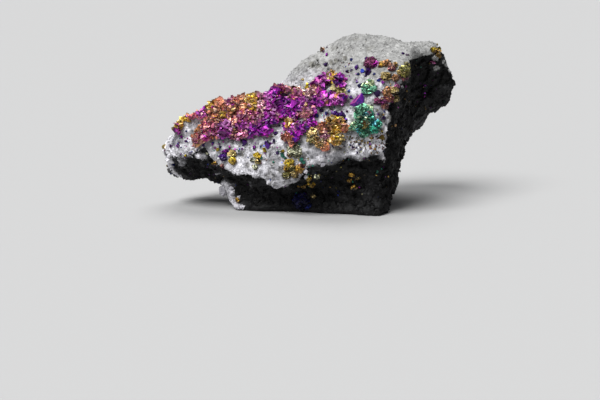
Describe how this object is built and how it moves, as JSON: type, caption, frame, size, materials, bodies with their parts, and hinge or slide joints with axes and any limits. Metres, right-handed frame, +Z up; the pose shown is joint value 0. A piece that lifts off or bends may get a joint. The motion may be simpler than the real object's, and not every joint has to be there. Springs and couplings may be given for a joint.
{
  "type": "peacock ore specimen",
  "caption": "Rough hand specimen of peacock ore: iridescent magenta, gold, violet and teal chalcopyrite crystals on a lump of pale sugary host rock.",
  "frame": {"origin": "middle of the specimen's bounding box, on the surface it rests on", "axes": "+X runs from the low pointed end to the high end, along the length; -Y is the side with the crystals; +Z is up"},
  "size_m": [0.078, 0.0466, 0.0449],
  "materials": {
    "matrix": "white to pale grey fine-grained crystalline rock with a sugary sparkle, grey and speckled with dark grains on its shaded sides",
    "magenta_crystal": "metallic iridescent tarnish, magenta with orange-pink and gold patches",
    "gold_crystal": "metallic iridescent tarnish, brass-gold with orange",
    "bronze_crystal": "metallic iridescent tarnish, bronze-orange with pink",
    "olive_crystal": "duller metallic tarnish, olive-gold to grey-green",
    "teal_crystal": "metallic iridescent tarnish, teal-green with blue and gold glints",
    "violet_crystal": "metallic iridescent tarnish, violet to deep blue",
    "blue_crystal": "metallic iridescent tarnish, dark blue with violet glints"
  },
  "bodies": {
    "root": {"host_rock": "matrix", "crust_main": "magenta_crystal", "violet_tall_crystal": "violet_crystal", "gold_centre": "gold_crystal", "violet_over_gold": "violet_crystal", "teal_lower": "teal_crystal", "teal_upper": "teal_crystal", "magenta_ball": "magenta_crystal", "bronze_top_right": "bronze_crystal", "olive_crystal": "olive_crystal", "magenta_right": "magenta_crystal", "gold_far_right": "gold_crystal", "pink_far_right": "bronze_crystal", "purple_right_face": "violet_crystal", "pink_top_edge": "bronze_crystal", "gold_left_tip": "gold_crystal", "gold_pair_left": "gold_crystal", "violet_left": "violet_crystal", "gold_left_low": "olive_crystal", "gold_small_left": "bronze_crystal", "grey_green_mass": "olive_crystal", "gold_bottom_centre": "gold_crystal", "gold_shadow_edge": "gold_crystal", "blue_bottom_ball": "blue_crystal", "bronze_under_lip": "bronze_crystal", "gold_foot": "gold_crystal"}
  },
  "joints": []
}
